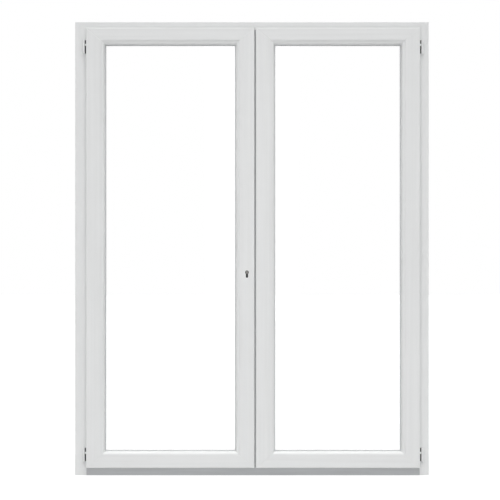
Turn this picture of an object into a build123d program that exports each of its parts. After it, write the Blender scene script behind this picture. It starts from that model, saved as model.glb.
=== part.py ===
"""A pair of PVC french doors in their frame, in millimetres.

+X is to the right seen from the room, +Y is to the outside and +Z is up. The origin is on the
underside of the sill, at mid width and mid depth of the frame. The leaves open into the room.
"""
import os

from build123d import *

# Frame, outside sizes and the widths seen from the room around the leaves
frame_width = 1600
frame_height = 2050
frame_depth = 70
left_jamb_sight = 51
right_jamb_sight = 41
head_sight = 28
sill_sight = 35

# How a leaf sits in the frame: its lip laps over the frame's face, its body stands in the rebate
leaf_depth = 70
leaf_proud = 20
seal_gap = 4
lip_overlap = 8
rebate_air = 12
flange_cover = 8

# Meeting of the two leaves
meeting_x = 14.5
meeting_gap = 7

# Leaf bars: flat width of the face, then the bead and the strip of gasket seen beside the glass
stile_flat = 66
rail_flat = 55
bead_width = 18
gasket_sight = 7
yard_gasket_sight = 3
leg_depth = 16

# PVC bars
pvc_wall = 3
front_chamber = 10
outer_round = 3
inner_round = 1
weld_vee_width = 3
weld_vee_depth = 0.8
fixing_hole_r = 5
fixing_slot = 12
fixing_height_shares = (0.085, 0.37, 0.63, 0.915)

# Steel tubes in the bars
steel_wall = 1.5
steel_clearance = 0.3
steel_end = 12

# Glass unit and what holds it
pane_thick = 4
pane_gap = 16
gasket_thick = 3
glass_edge_gap = 5
spacer_width = 14
spacer_edge = 1
block_length = 100
block_share = 0.25
bead_sink = 3.5
bead_flat = 2
bead_wall = 2
gasket_hold = 6

# Seals
seal_clearance = 0.3
seal_width = 5.5
seal_edge = 1.2
centre_seal_width = 6
centre_seal_clearance = 0.4
centre_seal_stem = 2
centre_seal_inset = 2.7

# Hinges
hinge_top_drop = 80
hinge_bottom_rise = 63
hinge_out = 12.5
hinge_front = 8
barrel_r = 6
frame_knuckle_length = 34
leaf_knuckle_length = 26
knuckle_gap = 0.4
knuckle_cap = 3
pin_r = 3
pin_clearance = 0.05
hinge_plate = 2
arm_height = 8
arm_depth = 6
arm_plate_depth = 12
knuckle_bevel = 1

# Threshold
sill_upstand = 8
sill_floor = 25
sill_wall = 2
break_front = 5
break_back = 19
break_fall = 4
sill_back_height = 15
sill_nose = 6
sill_nose_height = 9
sill_nose_top = 13
sill_end_gap = 0.3

# Drip rails
drip_low = 8
drip_height = 40
drip_reach = 28
drip_wall = 4
drip_lip = 9
drip_meeting_setback = 3
drip_flange_gap = 4
drip_top = 5

# Lock in the left leaf
lock_y = -20
faceplate_width = 20
faceplate_thick = 3
faceplate_end = 14
backset = 33.5
key_height = 918
case_depth = 53
case_thick = 16
case_below = 70
case_above = 110
case_wall = 1.5
pocket_clearance = 0.3
euro_r = 8.5
euro_web = 10
euro_height = 33
euro_clearance = 0.3
euro_recess = 2
euro_window = 1
euro_slot = 10
euro_bridge = 7.5
plug_r = 6.5
plug_clearance = 0.05
keyway_width = 2.4
keyway_height = 8
keyway_depth = 24
cam_nose_r = 14.5
cam_width = 8
cam_side_gap = 0.3
bolt_rise = 40
bolt_height = 22
bolt_thick = 11
bolt_throw = 20
bolt_tail = 25
bolt_bevel = 1
bolt_clearance = 0.3
rod_wide = 8
rod_thick = 5
rod_edge = 9
rod_clearance = 0.5
rod_in_case = 30
rod_rest = 2
rod_tip = 1.5
rod_throw = 22

# Keeps for rods and bolts
keep_hole_clearance = 0.6
keep_margin = 15
keep_plate = 2
keep_width = 20
keep_bevel = 3
keep_depth = 13
sill_keep_width = 14
sill_keep_drop = 2

# Meeting post on the right leaf
post_fit = 0.3
cap_thick = 2
cap_plug = 14
cap_clearance = 0.2
strike_thick = 1.5
strike_width = 18
strike_margin = 35
flush_bolt_length = 260
flush_bolt_x = 10
slide_width = 9
slide_height = 14
slide_out = 2
slide_neck = 6
slide_from_end = 30
slide_clearance = 0.4

# How far a cut runs past what it cuts
overrun = 60

# Worked-out places
left = -frame_width / 2
right = frame_width / 2
front = -frame_depth / 2
back = frame_depth / 2
leaf_front = front - leaf_proud
leaf_back = leaf_front + leaf_depth
lip_back = front - seal_gap
flange_front = leaf_back + seal_gap
lip_reach = lip_overlap + rebate_air
flange_reach = rebate_air + flange_cover
left_face = left_jamb_sight + lip_overlap
right_face = right_jamb_sight + lip_overlap
head_face = head_sight + lip_overlap
sill_face = sill_sight + lip_overlap
sill_keep_top = sill_face - sill_keep_drop

leaf_bottom = sill_sight
leaf_top = frame_height - head_sight
body_bottom = leaf_bottom + lip_reach
body_top = leaf_top - lip_reach
leaf_mid = (leaf_bottom + leaf_top) / 2
left_hinge_edge = left + left_jamb_sight
left_meet_edge = meeting_x - meeting_gap / 2
right_hinge_edge = right - right_jamb_sight
right_meet_edge = meeting_x + meeting_gap / 2

leg_front = leaf_back - leg_depth
glass_back = leg_front - gasket_thick
glass_front = glass_back - pane_thick - pane_gap - pane_thick
bead_back = glass_front - gasket_thick
bead_front = leaf_front + bead_sink
bead_radius = bead_width - bead_flat

hinge_y = front - hinge_front
hinge_splits = (leaf_top - hinge_top_drop, leaf_bottom + hinge_bottom_rise)
left_hinge_x = left_hinge_edge - hinge_out
right_hinge_x = right_hinge_edge + hinge_out

key_x = left_meet_edge - backset
case_front = left_meet_edge - faceplate_thick
case_back = case_front - case_depth
case_bottom = key_height - case_below
case_top = key_height + case_above
bolt_z = key_height + bolt_rise
rod_x = left_meet_edge - rod_edge
post_edge = right_meet_edge + lip_reach
flush_x = right_meet_edge + flush_bolt_x
keep_left = rod_x - keep_margin
keep_right = flush_x + keep_margin
head_under = frame_height - head_face

along_y = Vector(0, 1, 0)
to_right = Vector(1, 0, 0)
to_left = Vector(-1, 0, 0)
upward = Vector(0, 0, 1)
downward = Vector(0, 0, -1)


def edge_plane(x, z, inward):
    """Plane across a bar: x runs inward from the bar's outer edge, y is the frame's Y."""
    return Plane(origin=(x, 0, z), x_dir=inward, z_dir=inward.cross(along_y))


def patch(us, vs, mode=Mode.ADD):
    """A rectangle between two corners, in the sketch being built."""
    Polygon((us[0], vs[0]), (us[1], vs[0]), (us[1], vs[1]), (us[0], vs[1]), align=None, mode=mode)


def soften(sketch, corners, radius):
    """Rounds the corners of a sketch that lie nearest to the places given."""
    fillet([sketch.vertices().sort_by_distance(Vector(*corner))[0] for corner in corners], radius)


def block(xs, ys, zs, mode=Mode.ADD):
    """A block between two corners, in the part being built."""
    with BuildSketch(Plane.XY.offset(zs[0])) as foot:
        patch(xs, ys)
    extrude(foot.sketch, amount=zs[1] - zs[0], mode=mode)


def barrel(centre, radius, zs, mode=Mode.ADD):
    """An upright cylinder between two heights, in the part being built."""
    with BuildSketch(Plane(origin=(centre[0], centre[1], zs[0]))) as disc:
        Circle(radius)
    extrude(disc.sketch, amount=zs[1] - zs[0], mode=mode)


def flat_bar(x, spare, zs, mode=Mode.ADD):
    """The flat upright bar of a rod or flush bolt, or the passage for it with some spare room."""
    half = (rod_thick / 2 + spare, rod_wide / 2 + spare)
    block((x - half[0], x + half[0]), (lock_y - half[1], lock_y + half[1]), zs, mode)


def cut_outline(points):
    """Cuts a shape drawn in the XZ plane right through the depth of the part being built."""
    with BuildSketch(Plane.XZ) as shape:
        Polygon(*points, align=None)
    extrude(shape.sketch, amount=frame_depth + overrun, both=True, mode=Mode.SUBTRACT)


def trim_upright(corner, inward, up):
    """Cuts an upright bar back to the joint line of a corner: outer, turning and inner point."""
    outer, turn, inner = corner
    far_x = inner[0] + inward * overrun
    far_z = outer[1] + up * overrun
    cut_outline([outer, turn, inner, (far_x, inner[1]), (far_x, far_z), (outer[0], far_z)])


def trim_level(corner, inward, up):
    """Cuts a level bar back to the joint line of a corner."""
    outer, turn, inner = corner
    far_x = outer[0] - inward * overrun
    far_z = inner[1] - up * overrun
    cut_outline([outer, turn, inner, (inner[0], far_z), (far_x, far_z), (far_x, outer[1])])


def weld_vee(start, end):
    """Cuts the shallow vee that is left where a weld is trimmed on the room face."""
    line = Vector(end[0] - start[0], 0, end[1] - start[1])
    plane = Plane(origin=(start[0], leaf_front, start[1]), x_dir=along_y, z_dir=line)
    with BuildSketch(plane) as vee:
        Polygon((-weld_vee_depth, -weld_vee_width), (-weld_vee_depth, weld_vee_width),
                (weld_vee_depth, 0), align=None)
    extrude(vee.sketch, amount=line.length, mode=Mode.SUBTRACT)


def save(built, label):
    built.part.label = label
    export_step(built.part, f"parts/{label}.step")


def tube_section(sketch_plane, us, vs):
    """A rectangular steel tube that fits a chamber with a small clearance."""
    with BuildSketch(sketch_plane) as tube:
        gap = steel_clearance
        wall = steel_clearance + steel_wall
        patch((us[0] + gap, us[1] - gap), (vs[0] + gap, vs[1] - gap))
        patch((us[0] + wall, us[1] - wall), (vs[0] + wall, vs[1] - wall), Mode.SUBTRACT)
    return tube.sketch


def frame_section(sketch_plane, face):
    """Frame bar: a face towards the room, a rebate for the leaf and a flange outside."""
    reach = face + flange_reach
    with BuildSketch(sketch_plane) as bar:
        Polygon((0, front), (face, front), (face, flange_front), (reach, flange_front),
                (reach, back), (0, back), align=None)
        soften(bar, [(0, front), (reach, back)], inner_round)
        chamber_back = front + pvc_wall + front_chamber
        patch((pvc_wall, face - pvc_wall), (front + pvc_wall, chamber_back), Mode.SUBTRACT)
        patch((pvc_wall, face - pvc_wall), frame_steel_depth, Mode.SUBTRACT)
        rear = (flange_front + pvc_wall, back - pvc_wall)
        patch((pvc_wall, face - pvc_wall), rear, Mode.SUBTRACT)
        patch((face, reach - pvc_wall), rear, Mode.SUBTRACT)
    return bar.sketch


frame_steel_depth = (front + pvc_wall + front_chamber + pvc_wall, flange_front)
leaf_steel_depth = (leaf_front + pvc_wall + front_chamber + pvc_wall, leg_front)


def leaf_section(sketch_plane, flat):
    """Leaf bar with a lip over the frame, a hollow body and a leg behind the glass."""
    sight = flat + bead_width
    with BuildSketch(sketch_plane) as bar:
        Polygon((0, leaf_front), (flat, leaf_front), (flat, leg_front), (sight, leg_front),
                (sight, leaf_back), (lip_reach, leaf_back), (lip_reach, lip_back), (0, lip_back),
                align=None)
        soften(bar, [(0, leaf_front), (sight, leaf_back)], outer_round)
        leaf_chambers(flat)
        room_side = (leaf_front + pvc_wall, leaf_front + pvc_wall + front_chamber)
        patch((pvc_wall, lip_reach), room_side, Mode.SUBTRACT)
    return bar.sketch


def lock_section(sketch_plane, flat):
    """Leaf bar without a lip: its edge is full depth and carries the lock's faceplate and rods."""
    sight = flat + bead_width
    plate = (lock_y - faceplate_width / 2, lock_y + faceplate_width / 2)
    channel = (lock_y - rod_wide / 2 - rod_clearance, lock_y + rod_wide / 2 + rod_clearance)
    with BuildSketch(sketch_plane) as bar:
        Polygon((0, leaf_front), (flat, leaf_front), (flat, leg_front), (sight, leg_front),
                (sight, leaf_back), (0, leaf_back), align=None)
        soften(bar, [(0, leaf_front), (sight, leaf_back), (0, leaf_back)], outer_round)
        leaf_chambers(flat)
        room_side = (leaf_front + pvc_wall, leaf_front + pvc_wall + front_chamber)
        patch((pvc_wall, lip_reach), room_side, Mode.SUBTRACT)
        patch((0, faceplate_thick), plate, Mode.SUBTRACT)
        patch((0, rod_edge + rod_thick / 2 + rod_clearance), channel, Mode.SUBTRACT)
        patch((pvc_wall, lip_reach), (leaf_steel_depth[0], plate[0] - pvc_wall), Mode.SUBTRACT)
        patch((pvc_wall, lip_reach), (plate[1] + pvc_wall, leaf_back - pvc_wall), Mode.SUBTRACT)
    return bar.sketch


def leaf_chambers(flat):
    """The chambers that both leaf bars have, cut from the sketch being built."""
    across = (lip_reach + pvc_wall, flat - pvc_wall)
    rear = (leg_front + pvc_wall, leaf_back - pvc_wall)
    room_side = (leaf_front + pvc_wall, leaf_front + pvc_wall + front_chamber)
    patch(across, room_side, Mode.SUBTRACT)
    patch(across, leaf_steel_depth, Mode.SUBTRACT)
    patch(across, rear, Mode.SUBTRACT)
    patch((flat, flat + bead_width - pvc_wall), rear, Mode.SUBTRACT)


def bead_section(sketch_plane, flat):
    """Glazing bead: flat beside the bar's face, then a quarter round down to the gasket."""
    tip = flat + bead_width
    turn = flat + bead_flat
    low = bead_front + bead_radius
    with BuildSketch(sketch_plane) as bead:
        with BuildLine():
            Polyline((turn, bead_front), (flat, bead_front), (flat, bead_back), (tip, bead_back),
                     (tip, low))
            RadiusArc((tip, low), (turn, bead_front), bead_radius)
        make_face()
        patch((flat + bead_wall, turn + bead_radius / 2),
              (bead_front + bead_radius / 2, bead_back - bead_wall), Mode.SUBTRACT)
    return bead.sketch


def euro_profile(sketch_plane, grow):
    """The outline of a euro-profile cylinder, with its axis at the sketch's origin."""
    radius = euro_r + grow
    web = euro_web / 2 + grow
    end = euro_height - euro_r - euro_web / 2
    with BuildSketch(sketch_plane) as outline:
        Circle(radius)
        patch((-web, web), (-end, 0))
        with Locations((0, -end)):
            Circle(web)
    return outline.sketch


def loop(outer, inner, ys):
    """A rectangular ring in the XZ plane between two depths, in the part being built."""
    with BuildSketch(Plane.XZ.offset(-ys[0])) as ring:
        patch((outer[0], outer[1]), (outer[2], outer[3]))
        patch((inner[0], inner[1]), (inner[2], inner[3]), Mode.SUBTRACT)
    extrude(ring.sketch, amount=-(ys[1] - ys[0]))


os.makedirs("parts", exist_ok=True)

# Frame bars, joined on a line from the outer corner to the face corner and on to the flange corner
frame_corners = {}
for name, x, inward, face in (("left", left, 1, left_face), ("right", right, -1, right_face)):
    turn = (x + inward * face, head_under)
    end = (turn[0] + inward * flange_reach, turn[1] - flange_reach)
    frame_corners[name] = ((x, frame_height), turn, end)

fixing_heights = [share * frame_height for share in fixing_height_shares]
upstand_back = front + sill_upstand
for name, x, inward, face, way in (("left", left, 1, left_face, to_right),
                                   ("right", right, -1, right_face, to_left)):
    plane = edge_plane(x, frame_height / 2, way)
    notch = sorted((x + inward * (face - lip_overlap), x + inward * (face + overrun)))
    hole_y = sum(frame_steel_depth) / 2
    holes = [Plane(origin=(x - inward * overrun, hole_y, z), z_dir=way) for z in fixing_heights]
    with BuildPart() as jamb:
        extrude(frame_section(plane, face), amount=frame_height / 2, both=True)
        trim_upright(frame_corners[name], inward, 1)
        block(notch, (front - overrun, upstand_back + sill_end_gap), (-overrun, sill_face + sill_end_gap),
              Mode.SUBTRACT)
        for hole in holes:
            with BuildSketch(hole) as drill:
                Circle(fixing_hole_r)
            extrude(drill.sketch, amount=face + flange_reach + overrun, mode=Mode.SUBTRACT)
    save(jamb, f"frame_jamb_{name}")

bolt_xs = (rod_x, flush_x)
socket = (head_under - overrun, head_under + keep_depth)
with BuildPart() as head:
    plane = edge_plane(0, frame_height, downward)
    extrude(frame_section(plane, head_face), amount=frame_width / 2, both=True)
    trim_level(frame_corners["left"], 1, 1)
    trim_level(frame_corners["right"], -1, 1)
    for x in bolt_xs:
        flat_bar(x, keep_hole_clearance, socket, Mode.SUBTRACT)
save(head, "frame_head")

with BuildPart() as frame_steels:
    for x, face, way in ((left, left_face, to_right), (right, right_face, to_left)):
        plane = edge_plane(x, (frame_height - head_face) / 2, way)
        span = frame_height - head_face - 2 * steel_end
        tube = tube_section(plane, (pvc_wall, face - pvc_wall), frame_steel_depth)
        extrude(tube, amount=span / 2, both=True)
    middle = (left + left_face + right - right_face) / 2
    plane = edge_plane(middle, frame_height, downward)
    span = frame_width - left_face - right_face - 2 * steel_end
    tube = tube_section(plane, (pvc_wall, head_face - pvc_wall), frame_steel_depth)
    extrude(tube, amount=span / 2, both=True)
    slot_y = sum(frame_steel_depth) / 2
    for z in fixing_heights:
        block((left - overrun, right + overrun), (slot_y - fixing_slot / 2, slot_y + fixing_slot / 2),
              (z - fixing_slot / 2, z + fixing_slot / 2), Mode.SUBTRACT)
    for x in bolt_xs:
        flat_bar(x, keep_hole_clearance, socket, Mode.SUBTRACT)
save(frame_steels, "frame_steels")

# Outer seal, on the flange of both jambs and of the head
flange_left = left + left_face + flange_reach
flange_right = right - right_face - flange_reach
flange_low = head_under - flange_reach
seal_depths = (leaf_back + seal_clearance, flange_front)
with BuildPart() as frame_seal:
    edge = seal_edge + seal_width
    block((flange_left - edge, flange_left - seal_edge), seal_depths, (sill_face, flange_low + edge))
    block((flange_right + seal_edge, flange_right + edge), seal_depths, (sill_face, flange_low + edge))
    block((flange_left - edge, flange_right + edge), seal_depths,
          (flange_low + seal_edge, flange_low + edge))
save(frame_seal, "frame_seal")

# Threshold: an inner shell with an upstand let into the jambs, a plastic break and an outer shell
sill_ends = (left + left_face + sill_end_gap, right - right_face - sill_end_gap)
sill_length = sill_ends[1] - sill_ends[0]
sill_plane = Plane(origin=(sill_ends[0], 0, 0), x_dir=along_y, z_dir=to_right)
with BuildPart() as threshold_inner:
    with BuildSketch(sill_plane) as shell:
        Polygon((front, 0), (front, sill_face), (upstand_back, sill_face), (upstand_back, sill_floor),
                (break_front, sill_floor), (break_front, 0), align=None)
        soften(shell, [(front, sill_face), (upstand_back, sill_face)], inner_round)
        patch((front + sill_wall, upstand_back - sill_wall), (sill_wall, sill_face - sill_wall),
              Mode.SUBTRACT)
        patch((upstand_back, break_front - sill_wall), (sill_wall, sill_floor - sill_wall), Mode.SUBTRACT)
    extrude(amount=sill_length)
    for end, outward in zip(sill_ends, (-1, 1)):
        block(sorted((end, end + outward * lip_overlap)), (front, upstand_back), (0, sill_face))
save(threshold_inner, "threshold_inner")

break_back_height = sill_floor - break_fall
with BuildPart() as threshold_break:
    with BuildSketch(sill_plane) as bridge:
        Polygon((break_front, 0), (break_front, sill_floor), (break_back, break_back_height),
                (break_back, 0), align=None)
        patch((break_front + pvc_wall, break_back - pvc_wall), (pvc_wall, break_back_height - pvc_wall),
              Mode.SUBTRACT)
    extrude(amount=sill_length)
save(threshold_break, "threshold_break")

outer_ends = (flange_left + sill_end_gap, flange_right - sill_end_gap)
outer_plane = Plane(origin=(outer_ends[0], 0, 0), x_dir=along_y, z_dir=to_right)
nose = back + sill_nose
with BuildPart() as threshold_outer:
    with BuildSketch(outer_plane) as shell:
        Polygon((break_back, 0), (break_back, break_back_height), (back, sill_back_height),
                (nose, sill_nose_top), (nose, sill_nose_height), (back, sill_nose_height), (back, 0),
                align=None)
        soften(shell, [(nose, sill_nose_top), (nose, sill_nose_height)], inner_round)
        patch((break_back + sill_wall, back - sill_wall), (sill_wall, sill_nose_top - sill_wall),
              Mode.SUBTRACT)
    extrude(amount=outer_ends[1] - outer_ends[0])
save(threshold_outer, "threshold_outer")

# Keeps for the rods of the left leaf and the flush bolts of the right one
keep_depths = (lock_y - keep_width / 2, lock_y + keep_width / 2)
with BuildPart() as head_keep:
    block((keep_left, keep_right), keep_depths, (head_under - keep_plate, head_under))
    chamfer(head_keep.edges().filter_by(Axis.Z), keep_bevel)
    for x in bolt_xs:
        flat_bar(x, keep_hole_clearance, socket, Mode.SUBTRACT)
save(head_keep, "head_keep")

sill_keep_depths = (lock_y - sill_keep_width / 2, lock_y + sill_keep_width / 2)
with BuildPart() as sill_keep:
    block((keep_left, keep_right), sill_keep_depths, (sill_floor, sill_keep_top))
    chamfer(sill_keep.edges().filter_by(Axis.Z), keep_bevel)
    for x in bolt_xs:
        flat_bar(x, keep_hole_clearance, (sill_floor + keep_plate, sill_keep_top + overrun), Mode.SUBTRACT)
save(sill_keep, "sill_keep")

# Hinges: the lower knuckle stands on the jamb with its pin, the upper one hangs on the leaf
for name, hinge_x, edge, inward in (("left", left_hinge_x, left_hinge_edge, 1),
                                    ("right", right_hinge_x, right_hinge_edge, -1)):
    with BuildPart() as frame_knuckles:
        for split_z in hinge_splits:
            low = split_z - frame_knuckle_length
            barrel((hinge_x, hinge_y), barrel_r, (low, split_z))
            block((hinge_x - pin_r, hinge_x + pin_r), (hinge_y, front), (low, split_z))
            block((hinge_x - barrel_r, hinge_x + barrel_r), (front - hinge_plate, front), (low, split_z))
            barrel((hinge_x, hinge_y), pin_r, (low + knuckle_cap, split_z), Mode.SUBTRACT)
    save(frame_knuckles, f"{name}_frame_knuckles")

    with BuildPart() as pins:
        for split_z in hinge_splits:
            low = split_z - frame_knuckle_length + knuckle_cap
            barrel((hinge_x, hinge_y), pin_r, (low, split_z + leaf_knuckle_length - 2 * knuckle_cap))
    save(pins, f"{name}_hinge_pins")

    with BuildPart() as leaf_knuckles:
        for split_z in hinge_splits:
            low = split_z + knuckle_gap
            high = split_z + leaf_knuckle_length
            barrel((hinge_x, hinge_y), barrel_r, (low, high))
            arm = sorted((hinge_x, edge))
            block(arm, (hinge_y - arm_depth / 2, hinge_y + arm_depth / 2), (low, low + arm_height))
            plate = sorted((edge, edge - inward * hinge_plate))
            plate_ys = (hinge_y - arm_plate_depth + arm_depth / 2, hinge_y + arm_depth / 2)
            block(plate, plate_ys, (low, low + arm_height))
            barrel((hinge_x, hinge_y), pin_r + pin_clearance, (low, high - knuckle_cap), Mode.SUBTRACT)
            rim = leaf_knuckles.edges().sort_by_distance(Vector(hinge_x, hinge_y - barrel_r, high))[0]
            chamfer(rim, knuckle_bevel)
    save(leaf_knuckles, f"{name}_leaf_knuckles")

# The two leaves
for name, hinge_edge, meet_edge, inward in (("left", left_hinge_edge, left_meet_edge, 1),
                                            ("right", right_hinge_edge, right_meet_edge, -1)):
    hinge_way, meet_way = (to_right, to_left) if inward > 0 else (to_left, to_right)
    mid_x = (hinge_edge + meet_edge) / 2
    half_width = abs(meet_edge - hinge_edge) / 2
    half_height = (leaf_top - leaf_bottom) / 2
    active = inward > 0

    def at(from_hinge, from_meet, rise_top, rise_bottom):
        """The rectangle of a loop set in from the leaf's four edges: low x, high x, low z, high z."""
        xs = sorted((hinge_edge + inward * from_hinge, meet_edge - inward * from_meet))
        return xs[0], xs[1], leaf_bottom + rise_bottom, leaf_top - rise_top

    def corner(side, up, start, turn, end):
        """A joint line at one corner: outer, turning and inner point, as distances from its edges."""
        x, way = (hinge_edge, inward) if side == "hinge" else (meet_edge, -inward)
        z = leaf_top if up > 0 else leaf_bottom
        return [(x + way * across, z - up * rise) for across, rise in (start, turn, end)], way

    bar_line = ((0, 0), (stile_flat, rail_flat), (stile_flat + bead_width, rail_flat + bead_width))
    bead_start = (stile_flat, rail_flat)
    bead_turn = (stile_flat + bead_flat, rail_flat + bead_flat)
    bead_line = (bead_start, bead_turn, bar_line[2])

    for side, x, way in (("hinge", hinge_edge, hinge_way), ("meeting", meet_edge, meet_way)):
        plane = edge_plane(x, leaf_mid, way)
        lock_side = active and side == "meeting"
        with BuildPart() as stile:
            section = lock_section if lock_side else leaf_section
            extrude(section(plane, stile_flat), amount=half_height, both=True)
            if lock_side:
                across = (x - overrun * 2, x + overrun)
                depths = (lip_back, leaf_back + overrun)
                block(across, depths, (body_top, leaf_top + overrun), Mode.SUBTRACT)
                block(across, depths, (leaf_bottom - overrun, body_bottom), Mode.SUBTRACT)
                gap = pocket_clearance
                block((case_back - gap, meet_edge + overrun),
                      (lock_y - case_thick / 2 - gap, lock_y + case_thick / 2 + gap),
                      (case_bottom - gap, case_top + gap), Mode.SUBTRACT)
                spare = euro_clearance + euro_window
                block((key_x - euro_r - spare, key_x + euro_r + spare),
                      (leaf_front + pvc_wall, leaf_back - pvc_wall),
                      (key_height + euro_r - euro_height - spare, key_height + euro_r + spare),
                      Mode.SUBTRACT)
                for y in (leaf_front, leaf_back):
                    keyhole = Plane(origin=(key_x, y, key_height), x_dir=to_right, z_dir=-along_y)
                    extrude(euro_profile(keyhole, euro_clearance), amount=pvc_wall, both=True,
                            mode=Mode.SUBTRACT)
            for up in (1, -1):
                line, into = corner(side, up, *bar_line)
                trim_upright(line, into, up)
                weld_vee(line[0], line[1])
        save(stile, f"{name}_{side}_stile")

    for side, z, up, way in (("top", leaf_top, 1, downward), ("bottom", leaf_bottom, -1, upward)):
        with BuildPart() as rail:
            extrude(leaf_section(edge_plane(mid_x, z, way), rail_flat), amount=half_width, both=True)
            for end in ("hinge", "meeting"):
                line, into = corner(end, up, *bar_line)
                trim_level(line, into, up)
                weld_vee(line[0], line[1])
        save(rail, f"{name}_{side}_rail")

    with BuildPart() as steels:
        across = (lip_reach + pvc_wall, stile_flat - pvc_wall)
        level = (lip_reach + pvc_wall, rail_flat - pvc_wall)
        low = leaf_bottom + rail_flat + steel_end
        high = leaf_top - rail_flat - steel_end
        for x, way, spans in (
            (hinge_edge, hinge_way, [(low, high)]),
            (meet_edge, meet_way,
             [(low, case_bottom - steel_end), (case_top + steel_end, high)] if active else [(low, high)]),
        ):
            for start, end in spans:
                tube = tube_section(edge_plane(x, (start + end) / 2, way), across, leaf_steel_depth)
                extrude(tube, amount=(end - start) / 2, both=True)
        half = half_width - stile_flat - steel_end
        for z, way in ((leaf_top, downward), (leaf_bottom, upward)):
            tube = tube_section(edge_plane(mid_x, z, way), level, leaf_steel_depth)
            extrude(tube, amount=half, both=True)
    save(steels, f"{name}_steels")

    for pair in ("upright", "level"):
        with BuildPart() as beads:
            if pair == "upright":
                runs = (("hinge", hinge_edge, hinge_way), ("meeting", meet_edge, meet_way))
                for side, x, way in runs:
                    half = half_height - rail_flat
                    extrude(bead_section(edge_plane(x, leaf_mid, way), stile_flat), amount=half, both=True)
                for side, x, way in runs:
                    for up in (1, -1):
                        line, into = corner(side, up, *bead_line)
                        trim_upright(line, into, up)
            else:
                for z, way in ((leaf_top, downward), (leaf_bottom, upward)):
                    half = half_width - stile_flat
                    extrude(bead_section(edge_plane(mid_x, z, way), rail_flat), amount=half, both=True)
                for up in (1, -1):
                    for side in ("hinge", "meeting"):
                        line, into = corner(side, up, *bead_line)
                        trim_level(line, into, up)
        save(beads, f"{name}_{pair}_beads")

    pane_in = (stile_flat + glass_edge_gap, stile_flat + glass_edge_gap, rail_flat + glass_edge_gap,
               rail_flat + glass_edge_gap)
    pane = at(*pane_in)
    for place, start in (("inner", glass_front), ("outer", glass_back - pane_thick)):
        with BuildPart() as glass:
            block(pane[:2], (start, start + pane_thick), pane[2:])
        save(glass, f"{name}_{place}_pane")

    with BuildPart() as spacer:
        ring_out = at(*(inset + spacer_edge for inset in pane_in))
        ring_in = at(*(inset + spacer_edge + spacer_width for inset in pane_in))
        loop(ring_out, ring_in, (glass_front + pane_thick, glass_back - pane_thick))
    save(spacer, f"{name}_spacer")

    with BuildPart() as blocks:
        rest = leaf_bottom + rail_flat
        for share in (block_share, 1 - block_share):
            x = pane[0] + share * (pane[1] - pane[0])
            block((x - block_length / 2, x + block_length / 2), (glass_front, glass_back),
                  (rest, rest + glass_edge_gap))
        for share, x, into in ((block_share, hinge_edge, inward), (1 - block_share, meet_edge, -inward)):
            z = pane[2] + share * (pane[3] - pane[2])
            xs = sorted((x + into * stile_flat, x + into * (stile_flat + glass_edge_gap)))
            block(xs, (glass_front, glass_back), (z - block_length / 2, z + block_length / 2))
    save(blocks, f"{name}_packing_blocks")

    with BuildPart() as gaskets:
        hold = bead_width - gasket_hold
        ring_out = at(stile_flat + hold, stile_flat + hold, rail_flat + hold, rail_flat + hold)
        for seen, depths in ((gasket_sight, (bead_back, glass_front)),
                             (yard_gasket_sight, (glass_back, leg_front))):
            sight = bead_width + seen
            ring_in = at(stile_flat + sight, stile_flat + sight, rail_flat + sight, rail_flat + sight)
            loop(ring_out, ring_in, depths)
    save(gaskets, f"{name}_glazing_gaskets")

    with BuildPart() as leaf_seal:
        depths = (lip_back, front - seal_clearance)
        far = meet_edge - inward * (lip_reach + seal_width)
        near = hinge_edge + inward * seal_edge
        low = leaf_bottom + seal_edge
        high = leaf_top - seal_edge
        block(sorted((near, near + inward * seal_width)), depths, (low, high))
        block(sorted((near, far)), depths, (low, low + seal_width))
        block(sorted((near, far)), depths, (high - seal_width, high))
    save(leaf_seal, f"{name}_leaf_seal")

    flange_edge = flange_left if inward > 0 else flange_right
    drip_ends = sorted((flange_edge + inward * drip_flange_gap, meet_edge - inward * drip_meeting_setback))
    drip_foot = body_bottom + drip_low
    with BuildPart() as drip:
        with BuildSketch(Plane(origin=(drip_ends[0], 0, 0), x_dir=along_y, z_dir=to_right)) as hood:
            tip = leaf_back + drip_reach
            hood_top = drip_foot + drip_height
            Polygon((leaf_back, drip_foot), (leaf_back, hood_top), (leaf_back + drip_top, hood_top),
                    (tip, drip_foot + drip_lip), (tip, drip_foot), (tip - drip_wall, drip_foot),
                    (tip - drip_wall, drip_foot + drip_lip - drip_wall / 2),
                    (leaf_back + drip_wall, hood_top - drip_lip), (leaf_back + drip_wall, drip_foot),
                    align=None)
            soften(hood, [(tip, drip_foot + drip_lip), (leaf_back + drip_top, hood_top)], outer_round)
        extrude(amount=drip_ends[1] - drip_ends[0])
    save(drip, f"{name}_drip_rail")

# Lock of the left leaf
plate_depths = (lock_y - faceplate_width / 2, lock_y + faceplate_width / 2)
bolt_depths = (lock_y - bolt_thick / 2, lock_y + bolt_thick / 2)
bolt_heights = (bolt_z - bolt_height / 2, bolt_z + bolt_height / 2)
gap = bolt_clearance
bolt_hole_depths = (bolt_depths[0] - gap, bolt_depths[1] + gap)
bolt_hole_heights = (bolt_heights[0] - gap, bolt_heights[1] + gap)
with BuildPart() as faceplate:
    ends = (body_bottom + faceplate_end, body_top - faceplate_end)
    block((case_front, left_meet_edge), plate_depths, ends)
    block((case_front - overrun, left_meet_edge + overrun), bolt_hole_depths, bolt_hole_heights,
          Mode.SUBTRACT)
save(faceplate, "lock_faceplate")

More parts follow.
